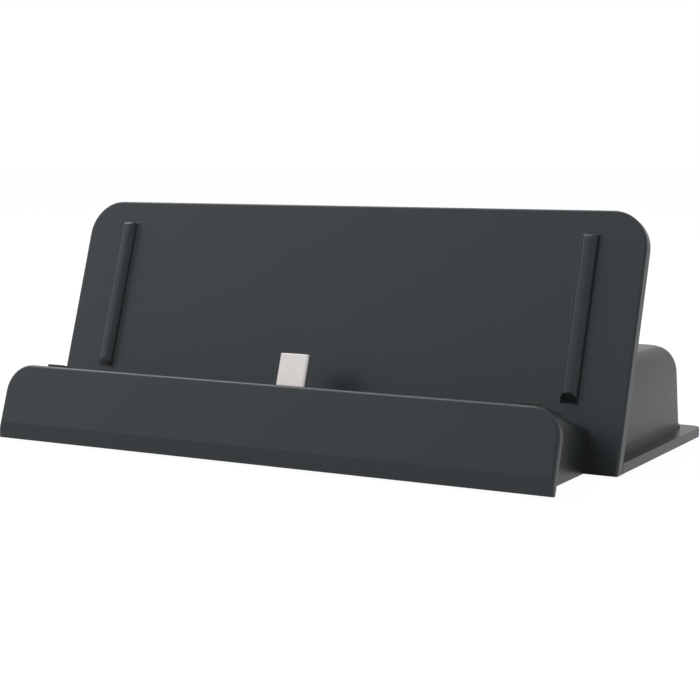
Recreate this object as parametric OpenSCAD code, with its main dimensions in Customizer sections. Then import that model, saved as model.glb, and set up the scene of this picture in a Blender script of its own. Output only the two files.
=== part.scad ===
// Charging station for a handheld game console.
// A leaning back plate and a sloping tray hold the console on an upright charging plug, and a
// rear housing behind the plate holds the charging board and the power inlet.
// Sizes are in millimetres. +X is along the width, +Z is up and the front faces -Y.
// The origin is on the standing surface, below the centre of the outline.

/* [Seat] */
// Lean of the back plate from upright, in degrees
lean = 18.3; // [15:0.1:22]
// Clear distance between the front panel and the back plate, square to the plate
seat_depth = 24.9; // [23:0.1:30]
// Level of the seat floor, from the plate's foot up along its slope
seat_level = 10.9; // [10.4:0.1:14]
// Thickness of the seat floor
floor_t = 2; // [1.6:0.1:2.4]

/* [Back plate] */
// Width of the back plate
plate_w = 164.5; // [162:0.5:178]
// Height of the back plate along its slope
plate_h = 63.8; // [62:0.1:80]
// Thickness of the back plate
plate_t = 3.2; // [2.4:0.1:3.6]
// Radius of the back plate's top corners
plate_corner_r = 9.5; // [6:0.5:12]
// Rounding of the back plate's rim, at the front
plate_rim_r = 0.6; // [0.4:0.1:0.9]
// Rounding of the back plate's rim, at the back
plate_back_r = 0.3; // [0.2:0.1:0.6]

/* [Front panel] */
// Width of the front panel
panel_w = 156; // [150:1:162]
// Thickness of the front panel
panel_t = 3; // [2.4:0.1:3.6]
// Height of the upright band along the front panel's foot
panel_band = 4.2; // [2:0.1:5]
// Radius of the front panel's top corners
panel_corner_r = 7.2; // [4:0.1:8]
// Rounding of the front panel's rim
panel_rim_r = 0.9; // [0.4:0.1:1.1]

/* [Tray] */
// Width of the tray between the front panel and the back plate
tray_w = 148; // [144:1:149]
// Thickness of the tray's end walls
tray_wall = 2; // [1.6:0.1:2.4]
// Rounding of the tray's upper edges at its ends
tray_edge_r = 1.8; // [1:0.1:2.4]

/* [Plate ribs] */
// Distance between the two ribs on the back plate, centre to centre
rib_spacing = 136.4; // [100:0.1:142]
// Width of a plate rib at its foot
rib_w = 4.6; // [3:0.1:6]
// Height of a plate rib
rib_rise = 2.1; // [1.2:0.1:3]
// Inward slope of a plate rib's sides over its height
rib_taper = 0.5; // [0.2:0.1:0.7]
// Rounding along a plate rib's top
rib_round = 1.9; // [0.6:0.1:2]
// Rounding of a plate rib's upper end
rib_end_round = 1.2; // [0.4:0.1:1.6]
// Start of the plate ribs, up along the slope
rib_low = 16.5; // [15:0.1:24]
// End of the plate ribs, up along the slope
rib_high = 57.4; // [40:0.1:60]
// Length of the ramp at a plate rib's lower end
rib_ramp = 1.8; // [1:0.1:4]

/* [Seat pads] */
// Distance between the two rubber pads on the seat floor, centre to centre
pad_spacing = 134.6; // [100:0.1:135]
// Width of a pad
pad_w = 5.6; // [4:0.1:6.4]
// Length of a pad from front to back
pad_l = 16; // [10:0.5:19]
// Height of a pad above the seat floor
pad_rise = 1.3; // [0.8:0.1:2]
// Depth of a pad's seat in the floor
pad_seat = 0.5; // [0.4:0.1:0.8]
// Corner radius of a pad
pad_corner_r = 0.8; // [0.4:0.1:2]
// Distance from the front panel's back to the front end of a pad
pad_setback = 2.1; // [1:0.1:5]

/* [Rear housing] */
// Width of the rear housing at its foot
housing_w = 156; // [154:1:158]
// Depth of the rear housing at its foot, behind the back plate
housing_depth = 58.2; // [56:0.1:72]
// Height of the rear housing
housing_h = 24.7; // [24:0.1:34]
// Wall thickness of the rear housing
housing_wall = 2.2; // [1.8:0.1:2.6]
// Draft of the rear housing's walls, in degrees
housing_draft = 2.4; // [0:0.1:4]
// Depth of the rounding over the rear housing's top edges
housing_round_z = 7.8; // [6:0.1:10]
// Reach of that rounding in from the sides
housing_round_side = 3.9; // [3.2:0.1:7]
// Reach of that rounding in from the rear
housing_round_rear = 7.9; // [6:0.1:13]
// Radius of the rear housing's upright corners
housing_corner_r = 4; // [3.6:0.1:6]
// Growth of that radius over the rounding of the top
housing_corner_growth = 0.2; // [0:0.1:2]
// Height of the bead around the rear housing's foot, above the flange
bead_h = 1; // [0.6:0.1:2]
// How far the bead stands out
bead_reach = 0.4; // [0.2:0.1:0.8]

/* [Flange] */
// Thickness of the foot flange
flange_t = 2.5; // [2:0.1:3]
// Reach of the foot flange behind the rear housing
flange_rear = 3; // [2:0.1:8]
// Radius of the foot flange's rear corners
flange_corner_r = 3; // [2:0.1:5]

/* [Base cover] */
// Thickness of the base cover
cover_t = 2; // [1.8:0.1:2.4]
// Height of the pads under the base screws, on the cover's inner side
cover_pad_h = 1.2; // [1:0.1:2]
// Radius of those pads
cover_pad_r = 4; // [3.6:0.1:5]

/* [Rubber feet] */
// Radius of a rubber foot
foot_r = 5; // [3:0.1:6]
// Thickness of a rubber foot
foot_t = 1.4; // [1.2:0.1:1.6]
// How far a rubber foot stands out below the cover
foot_proud = 0.6; // [0.4:0.1:1]
// Distance between the feet in a row
foot_span = 116; // [100:1:126]
// Distance of the front feet behind the front panel's foot
foot_front_y = 12; // [10:0.5:16]
// Distance of the rear feet in front of the rear wall's foot
foot_rear_gap = 10; // [9:0.5:16]

/* [Fasteners] */
// Radius of a base screw's thread
base_screw_r = 1.25; // [1:0.05:1.5]
// Length of a base screw below its head
base_screw_l = 8; // [6:0.5:10]
// Radius of a base screw's head
base_head_r = 2.4; // [2:0.1:2.6]
// Height of a base screw's head
base_head_h = 1.4; // [1:0.1:1.5]
// Radius of a screw boss
boss_r = 3.2; // [2.8:0.1:3.6]
// Radius of a board screw's thread
board_screw_r = 0.9; // [0.8:0.05:1]
// Length of a board screw below its head
board_screw_l = 4; // [3:0.5:4.5]
// Radius of a board screw's head
board_head_r = 1.7; // [1.5:0.1:1.9]
// Height of a board screw's head
board_head_h = 1; // [0.8:0.1:1.2]
// Distance between a rubber foot and the base screw beside it, centre to centre
foot_screw_gap = 13; // [11:0.5:16]
// Distance of the tray's base screws behind the front panel's foot
tray_screw_y = 11.5; // [10.5:0.5:13]
// Distance of the housing's screws from its sides and from the back plate
screw_inset = 13; // [12:0.5:16]

/* [Charging plug] */
// Width of the charging plug's metal shell
plug_w = 8.25; // [7:0.05:9]
// Thickness of the charging plug's metal shell
plug_t = 2.4; // [2.2:0.05:3]
// Corner radius of the metal shell
plug_corner_r = 0.6; // [0.5:0.05:1.1]
// Wall of the metal shell
plug_wall = 0.3; // [0.2:0.05:0.35]
// Height of the plug's tip above the seat floor
plug_rise = 10.1; // [7:0.1:12]
// Distance of the plug's middle from the back plate
plug_setback = 13.4; // [12:0.1:15]
// Depth of the plug's mouth
mouth_depth = 6.2; // [4:0.1:6.5]
// Width of the plug's mouth
mouth_w = 6.6; // [5:0.1:6.8]
// Opening of the plug's mouth from front to back
mouth_t = 1; // [0.8:0.05:1.1]
// Contacts in each row of the plug
contact_count = 6; // [4:1:8]
// Spacing of the plug's contacts
contact_pitch = 0.9; // [0.6:0.05:0.9]
// Width of a contact
contact_w = 0.3; // [0.2:0.05:0.35]
// Thickness of a contact
contact_t = 0.15; // [0.1:0.05:0.2]

/* [Plug holder] */
// Height of the plug holder under the seat floor
holder_h = 5; // [4.5:0.1:5.2]
// Length of the plug holder's block along the width
holder_w = 14; // [12:0.5:15]
// Size of the plug holder's block from front to back
holder_t = 6.4; // [5:0.1:7]
// Distance between the two holder screws
holder_screw_span = 22; // [21:0.5:26]
// Thickness of the holder's ears
ear_t = 1.8; // [1.5:0.1:2]
// Radius of the holder's ears and of the posts above them
ear_r = 2.4; // [2.2:0.1:3]

/* [Boards] */
// Thickness of the plug board
plug_board_t = 1; // [0.8:0.1:1.2]
// Width of the plug board
plug_board_w = 13; // [11:0.5:15]
// Depth of the plug board
plug_board_l = 8; // [7:0.1:9]
// Width of the charging board
board_w = 50; // [40:1:70]
// Depth of the charging board
board_l = 30; // [28:1:40]
// Thickness of the charging board
board_t = 1.6; // [1:0.1:2]
// Height of the standoffs under the charging board
standoff_h = 4; // [3:0.1:6]
// Radius of a standoff
standoff_r = 2.6; // [2:0.1:3]
// Distance of the board screws from the board's edges
board_margin = 3.5; // [3:0.1:5]

/* [Power inlet] */
// Width of the power inlet's shell
inlet_w = 8.94; // [8:0.02:10]
// Height of the power inlet's shell
inlet_h = 3.2; // [2.8:0.1:4]
// Length of the power inlet's shell
inlet_l = 7.4; // [6:0.1:9]
// Wall of the power inlet's shell
inlet_wall = 0.3; // [0.2:0.05:0.4]
// Width of the shallow pocket around the inlet
pocket_w = 13.5; // [12:0.1:16]
// Height of that pocket
pocket_h = 7.5; // [6:0.1:7.8]
// Depth of that pocket
pocket_depth = 0.8; // [0.5:0.1:1]
// Thickness of the inlet's plastic base
inlet_base_t = 1.2; // [0.8:0.1:1.6]
// Width of the inlet's tongue
tongue_w = 6.7; // [5.5:0.1:7]
// Thickness of the inlet's tongue
tongue_t = 0.7; // [0.5:0.05:0.9]
// Distance of the tongue's tip behind the inlet's mouth
tongue_setback = 1; // [0.5:0.1:2]

/* [Board parts] */
// Width and depth of the control chip
chip_w = 7; // [4:0.1:9]
// Height of the control chip
chip_h = 1; // [0.6:0.1:1.6]
// Width and depth of the power coil
coil_w = 6.5; // [4:0.1:8]
// Height of the power coil
coil_h = 3; // [2:0.1:5]
// Corner radius of the power coil
coil_corner_r = 1.2; // [0.5:0.1:1.8]
// Radius of a capacitor
capacitor_r = 2.5; // [1.5:0.1:3.5]
// Height of a capacitor
capacitor_h = 5.5; // [3:0.1:8]
// Width of a wire connector
connector_w = 10; // [9:0.1:12]
// Size of a wire connector along the wires
connector_l = 4; // [3:0.1:4.5]
// Height of a wire connector
connector_h = 3; // [2.4:0.1:3.1]
// Depth of the latch groove in a wire connector
latch_depth = 0.6; // [0.3:0.1:1]

/* [Wires] */
// Radius of a wire over its insulation
wire_r = 0.6; // [0.4:0.05:0.7]
// Distance between neighbouring wires
wire_pitch = 2; // [1.6:0.1:2.4]
// Width of the wire notch in the back plate's foot
notch_w = 12; // [11:0.5:20]
// Height of that notch above the base cover
notch_h = 5; // [3:0.1:6]

/* [Clearances] */
// Gap around the base cover
cover_gap = 0.2; // [0.1:0.05:0.3]
// Gap between the rear housing and the back plate
seam_gap = 0.1; // [0.05:0.05:0.2]
// Gap around the plug where it passes the seat floor
slot_gap = 0.2; // [0.1:0.05:0.4]
// Gap around a seat pad in its seat
pad_gap = 0.1; // [0.05:0.05:0.2]
// Gap between the plug's shell and what it seats in
plug_fit = 0.05; // [0.02:0.01:0.1]
// Gap around a screw in its plastic hole
thread_gap = 0.05; // [0.02:0.01:0.1]
// Gap around a screw where it passes a cover, an ear or a board
shank_gap = 0.25; // [0.15:0.05:0.3]
// Gap around the inlet where it passes the rear wall
inlet_gap = 0.2; // [0.1:0.05:0.4]
// Gap between the charging board and the rear wall
board_gap = 0.7; // [0.4:0.1:1.5]

/* [Hidden] */
$fn = 64;
shell_colour = [0.25, 0.26, 0.27];
steel_colour = [0.78, 0.77, 0.75];
board_colour = [0.08, 0.30, 0.17];
contact_colour = [0.85, 0.68, 0.32];
// Where the plate's front face, front to back, meets the standing level of the shells
foot_y = (seat_depth + panel_t) / cos(lean) - panel_band * tan(lean);
plate_back_y = foot_y + plate_t / cos(lean);
rear_y = plate_back_y + housing_depth;
flange_y = rear_y + flange_rear;
far = 400;
overlap = 0.5;
// Reach of a slab below the standing level, and of a cutting body past what it cuts
slab_foot = 20;
cut = 1;
// Way through the plate's foot, front to back
passage_l = plate_back_y - foot_y + (cover_t + notch_h) * tan(lean) + 2 * cut;
// Levels along the slope in the tray
floor_under = seat_level - floor_t;
holder_under = floor_under - holder_h;
plug_board_under = holder_under - plug_board_t;
// Levels of the charging board and its inlet
board_z = cover_t + standoff_h;
board_top = board_z + board_t;
inlet_z = board_top + inlet_h / 2;
inlet_r = inlet_h / 2 - 0.1;
mouth_y = wall_y(inlet_z) - pocket_depth;
board_rear_y = wall_y(board_top) - housing_wall - board_gap;
board_mid_y = board_rear_y - board_l / 2;
// Places of the parts on the charging board, from its middle
chip_place = [2, 0];
coil_place = [-10, 3];
capacitor_places = [[11, 2], [17, 2]];
// Screw places in plan
tray_screw_x = foot_span / 2 - foot_screw_gap;
housing_screw_x = housing_w / 2 - screw_inset;
housing_screw_ys = [plate_back_y + screw_inset, rear_y - foot_rear_gap - foot_screw_gap];
wire_colours = ["firebrick", [0.12, 0.12, 0.12], "seagreen", "whitesmoke"];

// Place of the drafted rear wall, front to back, at a height z
function wall_y(z) = rear_y - z * tan(housing_draft);
// A point of the seat in the side view: s up the slope, off in front of the plate
function seat_point(s, off) = [foot_y + s * sin(lean) - off * cos(lean),
                               s * cos(lean) + off * sin(lean)];
// Where the plane at a distance off in front of the plate meets the standing level
function ground_point(off) = seat_point(-off * tan(lean), off);
function unit(v) = v / norm(v);

// Rounded corner of an outline: its first touching point, its centre and its last touching point
function soft_corner(a, p, b, r) =
    let (u = unit(a - p), v = unit(b - p), half = acos(u * v) / 2)
    [p + u * r / tan(half), p + unit(u + v) * r / sin(half), p + v * r / tan(half)];

// Outline with one radius for each corner; a corner with radius 0 stays sharp
module soft_polygon(points, radii) {
    n = len(points);
    corners = [for (i = [0 : n - 1])
        soft_corner(points[(i + n - 1) % n], points[i], points[(i + 1) % n], max(radii[i], 0.001))];
    polygon([for (i = [0 : n - 1]) each (radii[i] > 0 ? corners[i] : [points[i]])]);
    for (i = [0 : n - 1])
        if (radii[i] > 0)
            translate(corners[i][1]) circle(radii[i]);
}

// Rectangle about its centre with rounded corners
module soft_rect(w, h, r)
    soft_polygon([[-w / 2, -h / 2], [w / 2, -h / 2], [w / 2, h / 2], [-w / 2, h / 2]], [r, r, r, r]);

// Side-view outline (front to back, up) drawn out along the width
module across(width) rotate([90, 0, 90]) linear_extrude(width, center = true) children();

// Everything is drawn with the panel's foot at y = 0 and the shells' underside at z = 0
module in_place() translate([0, -flange_y / 2, foot_proud]) children();

// Frame of the seat: z runs up the plate's slope and y = 0 is the plate's front face
module seat_frame() translate([0, foot_y, 0]) rotate([-lean, 0, 0]) children();

module both_sides() {
    children();
    mirror([1, 0, 0]) children();
}

// Section across the rim of a slab, len deep and t thick, with both outer edges rounded
module rim_section(len, t, r_near, r_far)
    soft_polygon([[0, 0], [len, 0], [len, t], [0, t]], [0, r_near, r_far, 0]);

// Upright slab with rounded top corners and a rounded rim, from y = 0 to t and up to h
module soft_slab(w, h, t, corner_r, front_r, back_r) {
    inner_w = w - 2 * corner_r;
    shoulder = h - corner_r;
    translate([-inner_w / 2, 0, -slab_foot]) cube([inner_w, t, shoulder + slab_foot]);
    translate([inner_w / 2, 0, shoulder])
        rotate([0, -90, 0]) linear_extrude(inner_w) rim_section(corner_r, t, front_r, back_r);
    both_sides() {
        translate([inner_w / 2, 0, -slab_foot])
            linear_extrude(shoulder + slab_foot) rim_section(corner_r, t, front_r, back_r);
        translate([inner_w / 2, t, shoulder])
            rotate([90, 0, 0]) rotate_extrude(angle = 90) rim_section(corner_r, t, back_r, front_r);
    }
}

// Cross-head screw with its head's underside at z = 0 and its thread going up
module screw(r, length, head_r, head_h) {
    cross_w = head_r / 3;
    difference() {
        union() {
            cylinder(r = r, h = length);
            translate([0, 0, -head_h]) cylinder(r = head_r, h = head_h);
        }
        for (turn = [0, 90])
            rotate(turn) translate([0, 0, -head_h])
                cube([1.3 * head_r, cross_w, head_h], center = true);
    }
}

module panel_solid()
    seat_frame() translate([0, -seat_depth - panel_t, 0])
        soft_slab(panel_w, seat_level, panel_t, panel_corner_r, panel_rim_r, panel_rim_r);

module plate_solid()
    seat_frame() soft_slab(plate_w, plate_h, plate_t, plate_corner_r, plate_rim_r, plate_back_r);

// Side view of the space under the floor, between two planes parallel to the plate
module tray_profile(front, back, level)
    polygon([ground_point(front), seat_point(level, front), seat_point(level, back), ground_point(back)]);

// Block under the seat, from the middle of the panel to the middle of the plate, with its upper
// edges rounded at both ends
module tray_solid()
    seat_frame() translate([0, plate_t / 2, 0]) rotate([90, 0, 0])
        linear_extrude(seat_depth + (panel_t + plate_t) / 2)
            soft_polygon([[-tray_w / 2, -slab_foot], [tray_w / 2, -slab_foot],
                          [tray_w / 2, seat_level], [-tray_w / 2, seat_level]],
                         [0, 0, tray_edge_r, tray_edge_r]);

// Long rib on the back plate, rounded in section, with a ramp below and a rounded top end
module plate_rib() {
    top_r = min(rib_round, 1.2 * (rib_w / 2 - rib_taper), 0.9 * rib_rise);
    intersection() {
        translate([rib_spacing / 2, 0, rib_low])
            linear_extrude(rib_high - rib_low) mirror([0, 1])
                soft_polygon([[-rib_w / 2, -overlap], [rib_w / 2, -overlap], [rib_w / 2, 0],
                              [rib_w / 2 - rib_taper, rib_rise], [-rib_w / 2 + rib_taper, rib_rise],
                              [-rib_w / 2, 0]], [0, 0, 0, top_r, top_r, 0]);
        translate([rib_spacing / 2, 0, 0])
            across(2 * rib_w)
                soft_polygon([[overlap, rib_low], [0, rib_low], [-rib_rise, rib_low + rib_ramp],
                              [-rib_rise, rib_high], [overlap, rib_high]],
                             [0, 0, top_r, min(rib_end_round, top_r), 0]);
    }
}

// Place of a seat pad's underside, in the frame of the seat
module at_pads() both_sides()
    translate([pad_spacing / 2, pad_setback + pad_l / 2 - seat_depth, seat_level - pad_seat]) children();

// Screw posts under the seat floor, cut to the floor's underside
module tray_bosses()
    intersection() {
        both_sides() {
            translate([tray_screw_x, tray_screw_y, cover_t + cover_pad_h])
                cylinder(r = boss_r, h = far);
            seat_frame() translate([holder_screw_span / 2, -plug_setback, holder_under + ear_t])
                cylinder(r = ear_r, h = far);
        }
        across(tray_w) tray_profile(seat_depth, 0, floor_under + floor_t / 2);
    }

module tray_boss_holes()
    both_sides() {
        translate([tray_screw_x, tray_screw_y, cover_t + cover_pad_h - 1])
            cylinder(r = base_screw_r + thread_gap, h = base_screw_l + 1);
        seat_frame() translate([holder_screw_span / 2, -plug_setback, holder_under])
            cylinder(r = board_screw_r + thread_gap, h = ear_t + board_screw_l - 1.2);
    }

// One moulding: front panel, tray and back plate with its ribs, open below
module front_shell() in_place() color(shell_colour)
    difference() {
        union() {
            difference() {
                union() {
                    panel_solid();
                    plate_solid();
                    tray_solid();
                    seat_frame() both_sides() plate_rib();
                }
                across(tray_w - 2 * tray_wall) tray_profile(seat_depth, 0, floor_under);
                seat_frame() translate([0, -plug_setback, floor_under - 1])
                    linear_extrude(floor_t + 2)
                        soft_rect(plug_w + 2 * slot_gap, plug_t + 2 * slot_gap, plug_corner_r + slot_gap);
                seat_frame() at_pads() linear_extrude(pad_seat + cut)
                    soft_rect(pad_w + 2 * pad_gap, pad_l + 2 * pad_gap, pad_corner_r + pad_gap);
            }
            tray_bosses();
        }
        tray_boss_holes();
        // Standing level, and the upright band along the panel's foot
        translate([-far / 2, -far / 2, -far]) cube([far, far, far]);
        translate([-far / 2, -far, -far / 2]) cube([far, far, far]);
        // Ways of the base cover and of the wires through the plate's foot
        translate([-tray_w / 2 + tray_wall, foot_y - cut, -cut])
            cube([tray_w - 2 * tray_wall, passage_l, cover_t + cover_gap + cut]);
        translate([-notch_w / 2, foot_y - cut, -cut])
            cube([notch_w, passage_l, cover_t + notch_h + cut]);
    }

// Rubber pads on which the console stands, each in a shallow seat in the floor
module seat_pads() in_place() color([0.10, 0.10, 0.10])
    seat_frame() at_pads() linear_extrude(pad_seat + pad_rise) soft_rect(pad_w, pad_l, pad_corner_r);

// Outline of the rear housing in plan, moved in by two reaches, as points that run from the
// front left round the rear corners
corner_steps = 6;
function plan_ring(side_in, rear_in, r, z) =
    let (x = housing_w / 2 - side_in, y = rear_y - rear_in)
    concat([[-x, 0, z]],
           [for (i = [0 : corner_steps]) let (a = 180 - 90 * i / corner_steps)
               [-x + r + r * cos(a), y - r + r * sin(a), z]],
           [for (i = [0 : corner_steps]) let (a = 90 - 90 * i / corner_steps)
               [x - r + r * cos(a), y - r + r * sin(a), z]],
           [[x, 0, z]]);

// Rings of the rear housing's form, moved in by inset: the drafted walls, then the rounding
// over the top edges, along which the upright corners grow softer
round_steps = 8;
function housing_rings(inset) =
    let (wall_top = housing_h - housing_round_z, d = tan(housing_draft),
         r0 = housing_corner_r - inset)
    concat([plan_ring(inset - d, inset - d, r0, -1)],
           [for (i = [0 : round_steps])
               let (a = 90 * i / round_steps, in_z = inset + wall_top * d)
               plan_ring(in_z + (housing_round_side - inset) * (1 - cos(a)),
                         in_z + (housing_round_rear - inset) * (1 - cos(a)),
                         r0 + housing_corner_growth * sin(a),
                         wall_top + (housing_round_z - inset) * sin(a))]);

// Solid through a list of rings with the same number of points
module loft(rings) {
    n = len(rings[0]);
    last = len(rings) - 1;
    polyhedron(
        points = [for (ring = rings) each ring],
        faces = concat(
            [[for (i = [n - 1 : -1 : 0]) i]],
            [for (k = [0 : last - 1], i = [0 : n - 1])
                let (j = (i + 1) % n) each [
                    [k * n + i, (k + 1) * n + j, (k + 1) * n + i],
                    [k * n + i, k * n + j, (k + 1) * n + j]]],
            [[for (i = [0 : n - 1]) last * n + i]]),
        convexity = 4);
}

module housing_form(inset) loft(housing_rings(inset));

// What lies in front of the rear housing's seam with the plate, and below the standing level
module seam_cut() {
    seat_frame() translate([-far / 2, plate_t + seam_gap - far, -far / 2]) cube([far, far, far]);
    translate([-far / 2, -far / 2, -far]) cube([far, far, far]);
}

// Screw posts from the housing's ceiling down to the pads on the base cover
module housing_bosses()
    intersection() {
        both_sides() for (y = housing_screw_ys)
            translate([housing_screw_x, y, cover_t + cover_pad_h]) cylinder(r = boss_r, h = far);
        housing_form(housing_wall / 2);
    }

// Rear housing with its foot flange, open below and towards the back plate
module rear_housing() in_place() color(shell_colour)
    difference() {
        union() {
            difference() {
                union() {
                    housing_form(0);
                    intersection() {
                        housing_form(-bead_reach);
                        cube([far, far, 2 * (flange_t + bead_h)], center = true);
                    }
                    linear_extrude(flange_t)
                        soft_polygon([[-plate_w / 2, 0], [plate_w / 2, 0],
                                      [plate_w / 2, flange_y], [-plate_w / 2, flange_y]],
                                     [0, 0, flange_corner_r, flange_corner_r]);
                }
                housing_form(housing_wall);
                // Shell of the inlet, and the pocket round it
                translate([0, rear_y, inlet_z]) rotate([90, 0, 0])
                    linear_extrude(2 * housing_wall + 2, center = true)
                        soft_rect(inlet_w + 2 * inlet_gap, inlet_h + 2 * inlet_gap, inlet_r + inlet_gap);
                translate([0, mouth_y + 3, inlet_z]) rotate([90, 0, 0]) linear_extrude(3)
                    soft_rect(pocket_w, pocket_h, 2);
            }
            housing_bosses();
        }
        both_sides() for (y = housing_screw_ys)
            translate([housing_screw_x, y, cover_t + cover_pad_h - 1])
                cylinder(r = base_screw_r + thread_gap, h = base_screw_l + 1);
        seam_cut();
    }

module at_base_screws()
    both_sides() {
        translate([tray_screw_x, tray_screw_y, 0]) children();
        for (y = housing_screw_ys) translate([housing_screw_x, y, 0]) children();
    }

module at_feet()
    both_sides() {
        translate([foot_span / 2, foot_front_y, 0]) children();
        translate([foot_span / 2, rear_y - foot_rear_gap, 0]) children();
    }

module at_board_screws()
    both_sides() for (side = [-1, 1])
        translate([board_w / 2 - board_margin, board_mid_y + side * (board_l / 2 - board_margin), 0])
            children();

// Base cover: closes the tray and the rear housing from below
module base_cover() in_place() color(shell_colour) {
    tray_x = tray_w / 2 - tray_wall - cover_gap;
    housing_x = housing_w / 2 - housing_wall - cover_gap - cover_t * tan(housing_draft);
    front = ground_point(seat_depth)[0] + cover_t * tan(lean) + cover_gap;
    middle = plate_back_y + cover_t * tan(lean) + cover_gap + seam_gap;
    rear = wall_y(cover_t) - housing_wall - cover_gap;
    corner = housing_corner_r - housing_wall;
    difference() {
        union() {
            linear_extrude(cover_t)
                soft_polygon([[-tray_x, front], [tray_x, front], [tray_x, middle],
                              [housing_x, middle], [housing_x, rear], [-housing_x, rear],
                              [-housing_x, middle], [-tray_x, middle]],
                             [0, 0, 0, 0, corner, corner, 0, 0]);
            at_base_screws() cylinder(r = cover_pad_r, h = cover_t + cover_pad_h);
            at_board_screws() cylinder(r = standoff_r, h = board_z);
        }
        at_base_screws() {
            translate([0, 0, -1])
                cylinder(r = base_screw_r + shank_gap, h = cover_t + cover_pad_h + 2);
            translate([0, 0, -1]) cylinder(r = base_head_r + shank_gap, h = base_head_h + 1.1);
        }
        at_feet() translate([0, 0, -1]) cylinder(r = foot_r, h = foot_t - foot_proud + 1);
        at_board_screws() translate([0, 0, board_z + board_t - board_screw_l - 0.3])
            cylinder(r = board_screw_r + thread_gap, h = far);
    }
}

// Rubber discs set into round seats in the base cover
module rubber_feet() in_place() color([0.10, 0.10, 0.10])
    at_feet() translate([0, 0, -foot_proud]) cylinder(r = foot_r, h = foot_t);

module base_screws() in_place() color(steel_colour)
    at_base_screws() translate([0, 0, base_head_h + 0.1])
        screw(base_screw_r, base_screw_l, base_head_r, base_head_h);

// Frame of the charging plug: z runs up the slope from the foot of the plate
module plug_frame() seat_frame() translate([0, -plug_setback, 0]) children();

// Metal shell of the charging plug, open at its tip
module plug_shell() in_place() color(steel_colour)
    plug_frame() translate([0, 0, holder_under])
        linear_extrude(seat_level + plug_rise - holder_under)
            difference() {
                soft_rect(plug_w, plug_t, plug_corner_r);
                soft_rect(plug_w - 2 * plug_wall, plug_t - 2 * plug_wall, plug_corner_r - plug_wall);
            }

// Plastic core inside the plug's shell, with the mouth that takes the console's tongue
module plug_core() in_place() color([0.12, 0.12, 0.13])
    plug_frame() difference() {
        translate([0, 0, holder_under])
            linear_extrude(seat_level + plug_rise - holder_under - plug_wall)
                soft_rect(plug_w - 2 * plug_wall - 2 * plug_fit, plug_t - 2 * plug_wall - 2 * plug_fit,
                          plug_corner_r - plug_wall - plug_fit / 2);
        translate([0, 0, seat_level + plug_rise - mouth_depth])
            linear_extrude(mouth_depth + 1) square([mouth_w, mouth_t], center = true);
    }

// Two rows of contact springs, flat against the walls of the plug's mouth
module plug_contacts() in_place() color(contact_colour)
    plug_frame() for (side = [-1, 1], i = [0 : contact_count - 1])
        translate([(i - (contact_count - 1) / 2) * contact_pitch,
                   side * (mouth_t - contact_t) / 2,
                   seat_level + plug_rise - mouth_depth / 2 - 0.2])
            cube([contact_w, contact_t, mouth_depth - 1.6], center = true);

// Block that grips the plug's shell under the seat floor, with two screwed ears
module plug_holder() in_place() color([0.16, 0.16, 0.17])
    plug_frame() translate([0, 0, holder_under]) difference() {
        union() {
            translate([-holder_w / 2, -holder_t / 2, 0]) cube([holder_w, holder_t, holder_h]);
            both_sides() {
                translate([holder_screw_span / 2, 0, 0]) cylinder(r = ear_r, h = ear_t);
                translate([0, -ear_r, 0]) cube([holder_screw_span / 2, 2 * ear_r, ear_t]);
            }
        }
        translate([0, 0, -1]) linear_extrude(holder_h + 2)
            soft_rect(plug_w + 2 * plug_fit, plug_t + 2 * plug_fit, plug_corner_r + plug_fit);
        both_sides() translate([holder_screw_span / 2, 0, -1])
            cylinder(r = board_screw_r + shank_gap, h = ear_t + 2);
    }

module holder_screws() in_place() color(steel_colour)
    plug_frame() both_sides() translate([holder_screw_span / 2, 0, holder_under])
        screw(board_screw_r, board_screw_l, board_head_r, board_head_h);

// Small board under the plug, square to it
module plug_board() in_place() color(board_colour)
    plug_frame() translate([-plug_board_w / 2, -plug_board_l / 2, plug_board_under])
        cube([plug_board_w, plug_board_l, plug_board_t]);

// Housing of a wire connector, with its wires' face at y = 0 and a latch groove in its top
module connector_block()
    difference() {
        translate([-connector_w / 2, -connector_l, 0]) cube([connector_w, connector_l, connector_h]);
        translate([-connector_w / 4, -connector_l / 2, connector_h - latch_depth])
            cube([connector_w / 2, connector_l / 4, latch_depth + 1]);
    }

module plug_connector() in_place() color("ivory")
    plug_frame() translate([0, connector_l / 2 + 1, plug_board_under]) mirror([0, 0, 1])
        connector_block();

// Charging board on the standoffs of the base cover
module charging_board() in_place() color(board_colour)
    difference() {
        translate([-board_w / 2, board_mid_y - board_l / 2, board_z]) cube([board_w, board_l, board_t]);
        at_board_screws() cylinder(r = board_screw_r + shank_gap, h = far);
    }

module board_screws() in_place() color(steel_colour)
    at_board_screws() translate([0, 0, board_top]) mirror([0, 0, 1])
        screw(board_screw_r, board_screw_l, board_head_r, board_head_h);

module inlet_frame() translate([0, mouth_y, inlet_z]) rotate([90, 0, 0]) children();

// Oval metal shell of the power inlet, open at the rear
module inlet_shell() in_place() color(steel_colour)
    inlet_frame() linear_extrude(inlet_l) difference() {
        soft_rect(inlet_w, inlet_h, inlet_r);
        inlet_bore();
    }

// Cross-section of the space inside the inlet's shell
module inlet_bore() soft_rect(inlet_w - 2 * inlet_wall, inlet_h - 2 * inlet_wall, inlet_r - inlet_wall);

// Plastic base of the inlet with the flat tongue in its middle
module inlet_tongue() in_place() color([0.12, 0.12, 0.13])
    inlet_frame() {
        translate([0, 0, inlet_l - inlet_base_t]) linear_extrude(inlet_base_t) inlet_bore();
        translate([-tongue_w / 2, -tongue_t / 2, tongue_setback])
            cube([tongue_w, tongue_t, inlet_l - tongue_setback]);
    }

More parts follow.
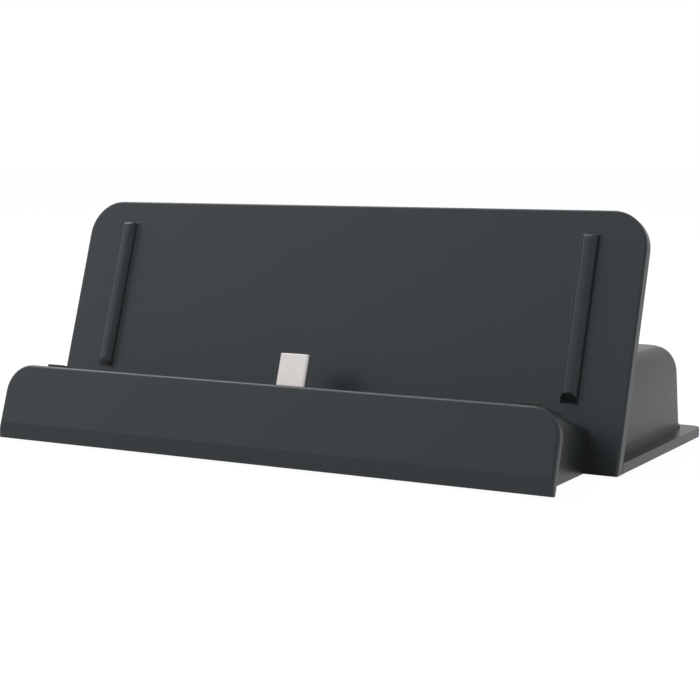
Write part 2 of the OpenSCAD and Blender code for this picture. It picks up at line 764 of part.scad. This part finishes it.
// Two rows of contacts on the faces of the inlet's tongue
module inlet_contacts() in_place() color(contact_colour)
    inlet_frame() for (side = [-1, 1], i = [0 : contact_count - 1])
        translate([(i - (contact_count - 1) / 2) * contact_pitch,
                   side * (tongue_t + contact_t) / 2,
                   (inlet_l + tongue_setback) / 2])
            cube([contact_w, contact_t, inlet_l - 2 * inlet_base_t - tongue_setback], center = true);

module on_board(place) translate([place[0], board_mid_y + place[1], board_top]) children();

module control_chip() in_place() color([0.14, 0.14, 0.15])
    on_board(chip_place) translate([-chip_w / 2, -chip_w / 2, 0]) cube([chip_w, chip_w, chip_h]);

module power_coil() in_place() color([0.30, 0.30, 0.32])
    on_board(coil_place) linear_extrude(coil_h) soft_rect(coil_w, coil_w, coil_corner_r);

module capacitors() in_place() color([0.72, 0.73, 0.75])
    for (place = capacitor_places) on_board(place) cylinder(r = capacitor_r, h = capacitor_h);

module board_connector() in_place() color("ivory")
    translate([0, board_mid_y - board_l / 2 + connector_l + 1, board_top])
        mirror([0, 1, 0]) translate([0, connector_l, 0]) connector_block();

// Route of the wires in the side view: out of the plug's connector along its own direction,
// through the notch in the plate's foot and level into the board's connector
wire_start = seat_point(plug_board_under - connector_h / 2, plug_setback - connector_l / 2 - 1);
wire_middle = [foot_y + plate_t / 2, cover_t + notch_h / 2 + 0.2];
wire_end = [board_mid_y - board_l / 2 + 1, board_top + connector_h / 2];
function curve(a, b, c, d, t) =
    a * pow(1 - t, 3) + 3 * b * t * pow(1 - t, 2) + 3 * c * t * t * (1 - t) + d * pow(t, 3);
wire_steps = 6;
wire_route = concat(
    [for (i = [0 : wire_steps - 1])
        curve(wire_start, wire_start + 3.5 * [cos(lean), -sin(lean)], wire_middle - [3, 0],
              wire_middle, i / wire_steps)],
    [for (i = [0 : wire_steps])
        curve(wire_middle, wire_middle + [9, 0], wire_end - [9, 0], wire_end, i / wire_steps)]);

// Ring of 8 points round a place on the route, square to the route there
function wire_direction(i) =
    i == 0 ? [cos(lean), -sin(lean)] :
    i == len(wire_route) - 1 ? [1, 0] :
    unit(wire_route[i + 1] - wire_route[i - 1]);
function wire_ring(x, i) =
    let (p = wire_route[i], d = wire_direction(i))
    [for (k = [0 : 7]) let (a = 45 * k)
        [x + wire_r * cos(a), p[0] - d[1] * wire_r * sin(a), p[1] + d[0] * wire_r * sin(a)]];

module wire(i) in_place() color(wire_colours[i])
    loft([for (k = [0 : len(wire_route) - 1]) wire_ring((i - 1.5) * wire_pitch, k)]);

front_shell();
rear_housing();
base_cover();
rubber_feet();
base_screws();
plug_shell();
plug_core();
plug_contacts();
plug_holder();
holder_screws();
plug_board();
plug_connector();
charging_board();
board_screws();
inlet_shell();
inlet_tongue();
inlet_contacts();
control_chip();
power_coil();
capacitors();
board_connector();
wire(0);  // wire_red
wire(1);  // wire_black
wire(2);  // wire_green
wire(3);  // wire_white
seat_pads();
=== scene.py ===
import math

import bpy
from bpy.props import FloatProperty, FloatVectorProperty, PointerProperty
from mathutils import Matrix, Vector

bl_info = {
    "name": "Charging station looks",
    "version": (1, 0, 0),
    "blender": (4, 5, 0),
    "location": "3D View > Sidebar > Station",
    "description": "Finishes, edges, studio and camera of a charging station for a handheld console",
    "category": "Object",
}

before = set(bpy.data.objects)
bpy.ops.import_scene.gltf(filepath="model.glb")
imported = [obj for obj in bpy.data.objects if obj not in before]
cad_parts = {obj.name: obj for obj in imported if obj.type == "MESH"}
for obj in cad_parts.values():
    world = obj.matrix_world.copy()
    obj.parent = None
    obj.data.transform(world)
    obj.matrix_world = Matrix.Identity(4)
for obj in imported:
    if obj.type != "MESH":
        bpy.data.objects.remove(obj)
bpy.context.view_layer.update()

# Places on the front moulding, in metres: the seat's lean, the foot of the back plate's face,
# the crease along the front panel's foot and the ribs' foot lines
LEAN = math.radians(18.3)
PLATE_FOOT_Y = -0.018287
UNDERSIDE_Z = 0.0006
PANEL_FRONT_Y = -0.046284
CREASE_Z = 0.0048
RIB_X = (0.0659, 0.0705)
RIB_REACH = (0.0165, 0.0574)
NEAR = 0.00003

# How the meshes are cleaned and their edges found
WELD_REACH = 1e-6
FLAT_ANGLE = math.radians(0.4)
EDGE_ANGLE = math.radians(32)

# How far the surface's gloss pattern moves the roughness, and the metal's change of tone
GLOSS_CHANGE = 0.12
METAL_TONE_CHANGE = 0.08

# Streaks a metre along X, Y and Z, for each kind of metal
PLUG_STREAKS = (9000.0, 9000.0, 900.0)
CONTACT_STREAKS = (9000.0, 900.0, 900.0)
SCREW_STREAKS = (4000.0, 4000.0, 4000.0)
CAN_STREAKS = (300.0, 300.0, 9000.0)

# Base colours that no setting holds
COLOURS = {
    "foot_rubber": (0.020, 0.020, 0.021),
    "black_plastic": (0.020, 0.020, 0.022),
    "board_green": (0.01, 0.10, 0.04),
    "ivory_plastic": (0.75, 0.72, 0.62),
    "chip_plastic": (0.02, 0.02, 0.022),
    "coil_ferrite": (0.07, 0.07, 0.075),
    "capacitor_can": (0.70, 0.71, 0.73),
    "wire_red": (0.55, 0.03, 0.03),
    "wire_black": (0.015, 0.015, 0.015),
    "wire_green": (0.03, 0.30, 0.08),
    "wire_white": (0.80, 0.80, 0.78),
}

# Studio: lamps as place and size, all turned to one target, and the pale floor
WHITE = (1.0, 1.0, 1.0, 1.0)
LAMP_TARGET = (0.0, 0.0, 0.03)
KEY_PLACE = (-0.82, -0.55, 0.78)
KEY_SIZE = (1.4, 1.1)
TOP_PLACE = (-0.50, 0.05, 0.85)
TOP_SIZE = (0.5, 0.6)
FLOOR_REACH = 6.0
FLOOR_LEVEL = -0.0001
FLOOR_COLOUR = (0.80, 0.80, 0.80, 1.0)
FLOOR_GLOW = 1.14
FLOOR_SHARE = 0.85


# Settings that a user would change

class ShellSettings(bpy.types.PropertyGroup):
    """Moulded plastic of the two shells and the base cover"""
    colour: FloatVectorProperty(
        name="Colour", description="Base colour of the moulded plastic",
        subtype="COLOR", size=3, min=0, max=1, default=(0.026, 0.030, 0.033))
    roughness: FloatProperty(
        name="Roughness", description="Roughness of the moulded surface",
        subtype="FACTOR", min=0, max=1, default=0.37)
    specular: FloatProperty(
        name="Specular", description="Strength of the plastic's reflection",
        subtype="FACTOR", min=0, max=1, default=0.4)
    sheen_colour: FloatVectorProperty(
        name="Reflection colour", description="Cool tint of the plastic's reflection",
        subtype="COLOR", size=3, min=0, max=1, default=(0.88, 0.96, 1.0))
    grain_size: FloatProperty(
        name="Grain size", description="Size of one grain of the moulded surface",
        unit="LENGTH", precision=5, min=0.00005, max=0.002, default=0.00035)
    grain_depth: FloatProperty(
        name="Grain depth", description="Depth of that grain",
        unit="LENGTH", precision=6, min=0, max=0.0002, default=0.00002)
    edge_width: FloatProperty(
        name="Edge rounding", description="Rounding of the sharp edges",
        unit="LENGTH", precision=5, min=0, max=0.001, default=0.00012)
    crease_width: FloatProperty(
        name="Crease rounding",
        description="Widest rounding of the crease on the panel's foot; short edges beside it limit it",
        unit="LENGTH", precision=5, min=0, max=0.003, default=0.0016)
    rib_fillet: FloatProperty(
        name="Rib fillet", description="Fillet along the foot of the plate's ribs",
        unit="LENGTH", precision=5, min=0, max=0.0006, default=0.0005)


class MetalSettings(bpy.types.PropertyGroup):
    """Metal of the charging plug, the inlet and the screws"""
    plug_colour: FloatVectorProperty(
        name="Plug colour", description="Base colour of the plug's satin shell",
        subtype="COLOR", size=3, min=0, max=1, default=(0.55, 0.53, 0.52))
    screw_colour: FloatVectorProperty(
        name="Screw colour", description="Base colour of the plated screws",
        subtype="COLOR", size=3, min=0, max=1, default=(0.55, 0.55, 0.56))
    contact_colour: FloatVectorProperty(
        name="Contact colour", description="Base colour of the gold-plated contacts",
        subtype="COLOR", size=3, min=0, max=1, default=(0.80, 0.60, 0.25))
    roughness: FloatProperty(
        name="Roughness", description="Roughness of the satin metal",
        subtype="FACTOR", min=0, max=1, default=0.45)


class StudioSettings(bpy.types.PropertyGroup):
    """Camera, lamps and floor"""
    lens: FloatProperty(
        name="Lens", description="Focal length of the camera on a 36 mm sensor, in millimetres",
        min=10, max=300, default=84.30)
    azimuth: FloatProperty(
        name="Azimuth", description="How far the camera stands round to the right of the front",
        subtype="ANGLE", default=math.radians(29.240))
    pitch: FloatProperty(
        name="Pitch", description="How far the camera looks down",
        subtype="ANGLE", default=math.radians(6.870))
    place: FloatVectorProperty(
        name="Place", description="Where the camera stands",
        subtype="TRANSLATION", unit="LENGTH", size=3, default=(0.20990, -0.37220, 0.07483))
    key_power: FloatProperty(
        name="Key lamp", description="Power of the large lamp at the front left",
        unit="POWER", min=0, default=2.45)
    top_power: FloatProperty(
        name="Top lamp", description="Power of the lamp above the left side",
        unit="POWER", min=0, default=4.5)
    ambient: FloatProperty(
        name="Ambient", description="Strength of the world's even light",
        min=0, max=2, default=0.2)


# Node helpers

def link(tree, source, target):
    tree.links.new(source, target)


def add(tree, kind, x, y, **values):
    """Node of a kind at a place in the node editor, with its properties set"""
    node = tree.nodes.new(kind)
    node.location = (x, y)
    for name, value in values.items():
        setattr(node, name, value)
    return node


def new_group(name, inputs, outputs):
    """Empty shader node group; inputs and outputs are (name, socket kind, default) rows"""
    group = bpy.data.node_groups.new(name, "ShaderNodeTree")
    for label, kind, default in inputs:
        socket = group.interface.new_socket(label, in_out="INPUT", socket_type=kind)
        socket.default_value = default
    for label, kind in outputs:
        group.interface.new_socket(label, in_out="OUTPUT", socket_type=kind)
    return group, add(group, "NodeGroupInput", -900, 0), add(group, "NodeGroupOutput", 700, 0)


def math_node(tree, x, y, operation, first, second):
    """Math node whose inputs are sockets or plain numbers"""
    node = add(tree, "ShaderNodeMath", x, y, operation=operation)
    for socket, value in zip(node.inputs, (first, second)):
        if isinstance(value, (int, float)):
            socket.default_value = value
        else:
            link(tree, value, socket)
    return node.outputs[0]


def moulded_grain():
    """Fine grain with slow changes of tone, for all moulded plastic and rubber"""
    group, entry, result = new_group(
        "Moulded grain",
        [("Frequency", "NodeSocketFloat", 3000.0), ("Tone change", "NodeSocketFloat", 0.06)],
        [("Height", "NodeSocketFloat"), ("Tone", "NodeSocketFloat"), ("Gloss", "NodeSocketFloat")])
    place = add(group, "ShaderNodeTexCoord", -900, 300)
    fine = add(group, "ShaderNodeTexNoise", -500, 300)
    fine.inputs["Detail"].default_value = 3.0
    fine.inputs["Roughness"].default_value = 0.6
    slow = add(group, "ShaderNodeTexNoise", -500, 0)
    slow.inputs["Scale"].default_value = 45.0
    slow.inputs["Detail"].default_value = 2.0
    link(group, place.outputs["Object"], fine.inputs["Vector"])
    link(group, place.outputs["Object"], slow.inputs["Vector"])
    link(group, entry.outputs["Frequency"], fine.inputs["Scale"])
    link(group, fine.outputs["Fac"], result.inputs["Height"])
    both = math_node(group, -200, 100, "ADD", fine.outputs["Fac"], slow.outputs["Fac"])
    centred = math_node(group, 0, 100, "SUBTRACT", both, 1.0)
    scaled = math_node(group, 200, 100, "MULTIPLY", centred, entry.outputs["Tone change"])
    link(group, math_node(group, 400, 100, "ADD", scaled, 1.0), result.inputs["Tone"])
    shine = math_node(group, 0, -200, "SUBTRACT", slow.outputs["Fac"], 0.5)
    link(group, shine, result.inputs["Gloss"])
    return group


def rubbed_edges_and_sheen():
    """Mask that is 1 along convex edges, where the colour is painted brighter: a painted highlight, and
    wear where handling has smoothed the surface
    """
    group, entry, result = new_group(
        "Rubbed edges and sheen",
        [("Reach", "NodeSocketFloat", 0.0004), ("Strength", "NodeSocketFloat", 1.0)],
        [("Mask", "NodeSocketFloat")])
    rounded = add(group, "ShaderNodeBevel", -500, 200, samples=4)
    link(group, entry.outputs["Reach"], rounded.inputs["Radius"])
    plain = add(group, "ShaderNodeNewGeometry", -500, -100)
    dot = add(group, "ShaderNodeVectorMath", -250, 100, operation="DOT_PRODUCT")
    link(group, rounded.outputs["Normal"], dot.inputs[0])
    link(group, plain.outputs["Normal"], dot.inputs[1])
    turn = math_node(group, 0, 100, "SUBTRACT", 1.0, dot.outputs["Value"])
    scaled = math_node(group, 200, 100, "MULTIPLY", turn, entry.outputs["Strength"])
    clamp = add(group, "ShaderNodeClamp", 400, 100)
    link(group, scaled, clamp.inputs["Value"])
    link(group, clamp.outputs["Result"], result.inputs["Mask"])
    return group


def drawn_metal():
    """Fine streaks along one direction and soft stains, for drawn and plated metal"""
    group, entry, result = new_group(
        "Drawn metal",
        [("Streaks", "NodeSocketVector", PLUG_STREAKS),
         ("Tone change", "NodeSocketFloat", METAL_TONE_CHANGE)],
        [("Height", "NodeSocketFloat"), ("Tone", "NodeSocketFloat"), ("Gloss", "NodeSocketFloat")])
    place = add(group, "ShaderNodeTexCoord", -900, 300)
    stretch = add(group, "ShaderNodeVectorMath", -650, 300, operation="MULTIPLY")
    link(group, place.outputs["Object"], stretch.inputs[0])
    link(group, entry.outputs["Streaks"], stretch.inputs[1])
    fine = add(group, "ShaderNodeTexNoise", -400, 300)
    fine.inputs["Scale"].default_value = 1.0
    fine.inputs["Detail"].default_value = 2.0
    link(group, stretch.outputs[0], fine.inputs["Vector"])
    stain = add(group, "ShaderNodeTexNoise", -400, 0)
    stain.inputs["Scale"].default_value = 400.0
    link(group, place.outputs["Object"], stain.inputs["Vector"])
    link(group, fine.outputs["Fac"], result.inputs["Height"])
    both = math_node(group, -150, 100, "ADD", fine.outputs["Fac"], stain.outputs["Fac"])
    centred = math_node(group, 50, 100, "SUBTRACT", both, 1.0)
    scaled = math_node(group, 250, 100, "MULTIPLY", centred, entry.outputs["Tone change"])
    link(group, math_node(group, 450, 100, "ADD", scaled, 1.0), result.inputs["Tone"])
    link(group, math_node(group, 50, -200, "SUBTRACT", fine.outputs["Fac"], 0.5), result.inputs["Gloss"])
    return group


GROUPS = {}


def group_node(tree, build, x, y):
    """Node that places a shared group in a material"""
    if build.__name__ not in GROUPS:
        GROUPS[build.__name__] = build()
    return add(tree, "ShaderNodeGroup", x, y, node_tree=GROUPS[build.__name__])


def finish_material(name, colour, roughness, build, group_values, depth, metallic=0.0,
                    edge_sheen_tone=1.25, edge_reach=0.0004, specular=0.5, tint=(1.0, 1.0, 1.0)):
    """Material with a shared surface group: its tone on the colour, its gloss on the roughness,
    its height in a bump, and a painted highlight on convex edges that also stands for handling wear"""
    material = bpy.data.materials.new(name)
    material.use_nodes = True
    tree = material.node_tree
    shader = tree.nodes["Principled BSDF"]
    shader.inputs["Metallic"].default_value = metallic
    shader.inputs["Specular IOR Level"].default_value = specular
    shader.inputs["Specular Tint"].default_value = (*tint, 1.0)
    surface = group_node(tree, build, -900, 200)
    for label, value in group_values.items():
        surface.inputs[label].default_value = value
    # Convex edges get a brighter copy of the colour: a painted highlight along the edges, and handling
    # wear
    edges = group_node(tree, rubbed_edges_and_sheen, -900, -150)
    edges.inputs["Reach"].default_value = edge_reach
    toned = add(tree, "ShaderNodeVectorMath", -600, 300, operation="SCALE")
    toned.inputs[0].default_value = colour
    link(tree, surface.outputs["Tone"], toned.inputs["Scale"])
    edge_highlight_mix = add(tree, "ShaderNodeMix", -350, 300, data_type="RGBA")
    edge_highlight_colour = add(tree, "ShaderNodeVectorMath", -600, 120, operation="SCALE")
    edge_highlight_colour.inputs["Scale"].default_value = edge_sheen_tone
    link(tree, toned.outputs[0], edge_highlight_colour.inputs[0])
    link(tree, edges.outputs["Mask"], edge_highlight_mix.inputs["Factor"])
    link(tree, toned.outputs[0], edge_highlight_mix.inputs["A"])
    link(tree, edge_highlight_colour.outputs[0], edge_highlight_mix.inputs["B"])
    link(tree, edge_highlight_mix.outputs["Result"], shader.inputs["Base Color"])
    shine = math_node(tree, -600, -80, "MULTIPLY", surface.outputs["Gloss"], GLOSS_CHANGE)
    rough = math_node(tree, -350, -80, "ADD", shine, roughness)
    link(tree, rough, shader.inputs["Roughness"])
    bump = add(tree, "ShaderNodeBump", -350, -300)
    bump.inputs["Strength"].default_value = 1.0
    bump.inputs["Distance"].default_value = depth
    link(tree, surface.outputs["Height"], bump.inputs["Height"])
    link(tree, bump.outputs["Normal"], shader.inputs["Normal"])
    return material


def plastic(name, colour, roughness, grain_size, depth, tone=0.06, specular=0.5,
            tint=(1.0, 1.0, 1.0)):
    """Moulded plastic or rubber"""
    return finish_material(name, colour, roughness, moulded_grain,
                           {"Frequency": 1.0 / grain_size, "Tone change": tone}, depth,
                           specular=specular, tint=tint)


def metal(name, colour, roughness, streaks, depth):
    """Drawn or plated metal"""
    # Metal edges get the same painted highlight and wear, a little weaker and narrower
    return finish_material(name, colour, roughness, drawn_metal,
                           {"Streaks": streaks, "Tone change": METAL_TONE_CHANGE}, depth, metallic=1.0,
                           edge_sheen_tone=1.12, edge_reach=0.0002)


def seat_place(point):
    """Way up the plate's slope and distance in front of the plate, of a point on the front moulding"""
    y, z = point.y - PLATE_FOOT_Y, point.z - UNDERSIDE_Z
    return (y * math.sin(LEAN) + z * math.cos(LEAN), z * math.sin(LEAN) - y * math.cos(LEAN))


def on_panel_crease(point):
    """Whether a point lies on the crease along the front panel's foot"""
    return abs(point.y - PANEL_FRONT_Y) < NEAR and abs(point.z - CREASE_Z) < NEAR


def on_rib_foot(point):
    """Whether a point lies where a rib meets the plate"""
    up, out = seat_place(point)
    return (abs(out) < NEAR and RIB_X[0] - NEAR < abs(point.x) < RIB_X[1] + NEAR
            and RIB_REACH[0] - NEAR < up < RIB_REACH[1] + NEAR)


def soften(piece, name, picks, width, segments):
    """Rounds the edges between the vertices that a test picks"""
    group = piece.vertex_groups.new(name=name)
    chosen = [vertex.index for vertex in piece.data.vertices
              if picks(piece.matrix_world @ vertex.co)]
    if not chosen:
        raise RuntimeError("No vertices found for " + name)
    group.add(chosen, 1.0, "REPLACE")
    bevel = piece.modifiers.new(name, "BEVEL")
    bevel.width = width
    bevel.segments = segments
    bevel.limit_method = "VGROUP"
    bevel.vertex_group = group.name
    bevel.use_clamp_overlap = True


def dress(node, material, edge, soft=()):
    """Gives a CAD node its finish, and softens its sharp edges with modifiers; soft holds the
    edges with a wider rounding of their own"""
    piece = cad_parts[node]
    piece.data.materials.clear()
    piece.data.materials.append(material)
    for polygon in piece.data.polygons:
        polygon.use_smooth = True
    weld = piece.modifiers.new("Weld", "WELD")
    weld.merge_threshold = WELD_REACH
    flat = piece.modifiers.new("Planar faces", "DECIMATE")
    flat.decimate_type = "DISSOLVE"
    flat.angle_limit = FLAT_ANGLE
    for row in soft:
        soften(piece, *row)
    if edge > 0:
        bevel = piece.modifiers.new("Edge rounding", "BEVEL")
        bevel.width = edge
        bevel.segments = 2
        bevel.limit_method = "ANGLE"
        bevel.angle_limit = EDGE_ANGLE
        bevel.harden_normals = True
        bevel.use_clamp_overlap = True
    weighted = piece.modifiers.new("Face normals", "WEIGHTED_NORMAL")
    weighted.keep_sharp = False
    return piece


# Operators, one for each piece or group of like pieces

class STATION_OT_shells(bpy.types.Operator):
    """Finish the front moulding, the rear housing and the base cover"""
    bl_idname = "station.shells"
    bl_label = "Shells"

    def execute(self, context):
        settings = context.scene.station_shell
        material = plastic("shell_plastic", settings.colour, settings.roughness,
                           settings.grain_size, settings.grain_depth,
                           specular=settings.specular, tint=settings.sheen_colour)
        dress("front_shell", material, settings.edge_width,
              soft=(("Panel crease", on_panel_crease, settings.crease_width, 5),
                    ("Rib feet", on_rib_foot, settings.rib_fillet, 3)))
        for node in ("rear_housing", "base_cover"):
            dress(node, material, settings.edge_width)
        return {"FINISHED"}


class STATION_OT_rubber(bpy.types.Operator):
    """Finish the rubber feet and the seat pads"""
    bl_idname = "station.rubber"
    bl_label = "Feet and pads"

    def execute(self, context):
        material = plastic("foot_rubber", COLOURS["foot_rubber"], roughness=0.75,
                           grain_size=0.0005, depth=0.00004, tone=0.2)
        dress("rubber_feet", material, edge=0.0004)
        dress("seat_pads", material, edge=0.00015)
        return {"FINISHED"}


class STATION_OT_plug(bpy.types.Operator):
    """Finish the charging plug, the power inlet and their holders"""
    bl_idname = "station.plug"
    bl_label = "Plug and inlet"

    def execute(self, context):
        settings = context.scene.station_metal
        satin = metal("plug_metal", settings.plug_colour, settings.roughness,
                      PLUG_STREAKS, depth=0.000004)
        gold = metal("contact_metal", settings.contact_colour, roughness=0.25,
                     streaks=CONTACT_STREAKS, depth=0.000002)
        black = plastic("black_plastic", COLOURS["black_plastic"], roughness=0.4,
                        grain_size=0.0004, depth=0.00001)
        dress("plug_shell", satin, edge=0.0002)
        dress("inlet_shell", satin, edge=0.00008)
        for node in ("plug_contacts", "inlet_contacts"):
            dress(node, gold, edge=0.00003)
        for node in ("plug_core", "plug_holder", "inlet_tongue"):
            dress(node, black, edge=0.0001)
        return {"FINISHED"}


class STATION_OT_fasteners(bpy.types.Operator):
    """Finish the screws"""
    bl_idname = "station.fasteners"
    bl_label = "Screws"

    def execute(self, context):
        settings = context.scene.station_metal
        plated = metal("screw_steel", settings.screw_colour, roughness=0.3,
                       streaks=SCREW_STREAKS, depth=0.000004)
        for node in ("base_screws", "holder_screws", "board_screws"):
            dress(node, plated, edge=0.00015)
        return {"FINISHED"}


class STATION_OT_electronics(bpy.types.Operator):
    """Finish the two boards and what they carry"""
    bl_idname = "station.electronics"
    bl_label = "Boards and parts"

    def execute(self, context):
        board = plastic("board_green", COLOURS["board_green"], roughness=0.3,
                        grain_size=0.0008, depth=0.00001, tone=0.3)
        ivory = plastic("ivory_plastic", COLOURS["ivory_plastic"], roughness=0.45,
                        grain_size=0.0005, depth=0.00001)
        chip = plastic("chip_plastic", COLOURS["chip_plastic"], roughness=0.5,
                       grain_size=0.0003, depth=0.00002)
        coil = plastic("coil_ferrite", COLOURS["coil_ferrite"], roughness=0.6,
                       grain_size=0.0003, depth=0.00004, tone=0.3)
        can = metal("capacitor_can", COLOURS["capacitor_can"], roughness=0.3,
                    streaks=CAN_STREAKS, depth=0.000002)
        for node, material, edge in (
                ("plug_board", board, 0.00005), ("charging_board", board, 0.00005),
                ("plug_connector", ivory, 0.0001), ("board_connector", ivory, 0.0001),
                ("control_chip", chip, 0.0001), ("power_coil", coil, 0.0003),
                ("capacitors", can, 0.0003)):
            dress(node, material, edge)
        return {"FINISHED"}


class STATION_OT_wires(bpy.types.Operator):
    """Finish the four wires between the boards"""
    bl_idname = "station.wires"
    bl_label = "Wires"

    def execute(self, context):
        for node in ("wire_red", "wire_black", "wire_green", "wire_white"):
            insulation = plastic(node, COLOURS[node], roughness=0.35, grain_size=0.0006, depth=0.00001)
            dress(node, insulation, edge=0.0)
        return {"FINISHED"}


def background_factor(tree, x, y):
    """1 for rays that show the background: camera, glossy and transmission rays"""
    path = add(tree, "ShaderNodeLightPath", x, y)
    seen = math_node(tree, x + 200, y, "MAXIMUM", path.outputs["Is Camera Ray"],
                     path.outputs["Is Glossy Ray"])
    return math_node(tree, x + 400, y, "MAXIMUM", seen, path.outputs["Is Transmission Ray"])


def area_lamp(name, place, size, power):
    """Rectangular lamp at a place, turned to the station"""
    lamp = bpy.data.lights.new(name, "AREA")
    lamp.shape = "RECTANGLE"
    lamp.size, lamp.size_y = size
    lamp.energy = power
    carrier = bpy.data.objects.new(name, lamp)
    bpy.context.scene.collection.objects.link(carrier)
    carrier.location = place
    carrier.rotation_euler = (Vector(LAMP_TARGET) - Vector(place)).to_track_quat("-Z", "Y").to_euler()


class STATION_OT_studio(bpy.types.Operator):
    """Set the camera, the lamps, the world and the pale floor"""
    bl_idname = "station.studio"
    bl_label = "Studio"

    def execute(self, context):
        settings = context.scene.station_studio
        scene = context.scene
        camera = bpy.data.cameras.new("Camera")
        camera.sensor_width = 36.0
        camera.lens = settings.lens
        camera.clip_start = 0.01
        camera.clip_end = 50.0
        carrier = bpy.data.objects.new("Camera", camera)
        scene.collection.objects.link(carrier)
        carrier.location = settings.place
        carrier.rotation_euler = (math.pi / 2 - settings.pitch, 0.0, settings.azimuth)
        scene.camera = carrier
        scene.view_settings.view_transform = "Standard"

        world = bpy.data.worlds.new("Studio")
        scene.world = world
        world.use_nodes = True
        tree = world.node_tree
        tree.nodes.clear()
        out = add(tree, "ShaderNodeOutputWorld", 600, 0)
        mixed = add(tree, "ShaderNodeMixShader", 400, 0)
        even = add(tree, "ShaderNodeBackground", 150, -80)
        even.inputs["Strength"].default_value = settings.ambient
        shown = add(tree, "ShaderNodeBackground", 150, -220)
        shown.inputs["Color"].default_value = WHITE
        even.inputs["Color"].default_value = WHITE
        link(tree, background_factor(tree, -500, 150), mixed.inputs["Fac"])
        link(tree, even.outputs[0], mixed.inputs[1])
        link(tree, shown.outputs[0], mixed.inputs[2])
        link(tree, mixed.outputs[0], out.inputs["Surface"])

        area_lamp("Key lamp", KEY_PLACE, KEY_SIZE, settings.key_power)
        area_lamp("Top lamp", TOP_PLACE, TOP_SIZE, settings.top_power)

        mesh = bpy.data.meshes.new("Floor")
        corners = [(x * FLOOR_REACH, y * FLOOR_REACH, 0.0)
                   for x, y in ((-1, -1), (1, -1), (1, 1), (-1, 1))]
        mesh.from_pydata(corners, [], [(0, 1, 2, 3)])
        floor = bpy.data.objects.new("Floor", mesh)
        scene.collection.objects.link(floor)
        floor.location = (0.0, 0.0, FLOOR_LEVEL)
        pale = bpy.data.materials.new("Pale floor")
        pale.use_nodes = True
        tree = pale.node_tree
        shader = tree.nodes["Principled BSDF"]
        shader.inputs["Base Color"].default_value = FLOOR_COLOUR
        shader.inputs["Roughness"].default_value = 1.0
        shader.inputs["Specular IOR Level"].default_value = 0.0
        glow = add(tree, "ShaderNodeEmission", 0, -300)
        glow.inputs["Strength"].default_value = FLOOR_GLOW
        share = math_node(tree, 0, 300, "MULTIPLY", background_factor(tree, -700, 300), FLOOR_SHARE)
        mixed = add(tree, "ShaderNodeMixShader", 350, 100)
        link(tree, share, mixed.inputs["Fac"])
        link(tree, shader.outputs[0], mixed.inputs[1])
        link(tree, glow.outputs[0], mixed.inputs[2])
        link(tree, mixed.outputs[0], tree.nodes["Material Output"].inputs["Surface"])
        mesh.materials.append(pale)
        return {"FINISHED"}


class STATION_PT_panel(bpy.types.Panel):
    """Lists the station's pieces and their settings"""
    bl_idname = "STATION_PT_panel"
    bl_label = "Charging station"
    bl_space_type = "VIEW_3D"
    bl_region_type = "UI"
    bl_category = "Station"

    def draw(self, context):
        column = self.layout.column()
        for operator in OPERATORS:
            column.operator(operator.bl_idname)
        for group in (context.scene.station_shell, context.scene.station_metal,
                      context.scene.station_studio):
            box = column.box()
            for name in group.__annotations__:
                box.prop(group, name)


SETTINGS = (ShellSettings, MetalSettings, StudioSettings)
OPERATORS = (STATION_OT_studio, STATION_OT_shells, STATION_OT_rubber, STATION_OT_plug,
             STATION_OT_fasteners, STATION_OT_electronics, STATION_OT_wires)


def register():
    for kind in SETTINGS + OPERATORS + (STATION_PT_panel,):
        bpy.utils.register_class(kind)
    bpy.types.Scene.station_shell = PointerProperty(type=ShellSettings)
    bpy.types.Scene.station_metal = PointerProperty(type=MetalSettings)
    bpy.types.Scene.station_studio = PointerProperty(type=StudioSettings)


def unregister():
    del bpy.types.Scene.station_studio
    del bpy.types.Scene.station_metal
    del bpy.types.Scene.station_shell
    for kind in reversed(SETTINGS + OPERATORS + (STATION_PT_panel,)):
        bpy.utils.unregister_class(kind)


def main():
    register()
    bpy.ops.station.studio()
    bpy.ops.station.shells()
    bpy.ops.station.rubber()
    bpy.ops.station.plug()
    bpy.ops.station.fasteners()
    bpy.ops.station.electronics()
    bpy.ops.station.wires()


if __name__ == "__main__":
    main()
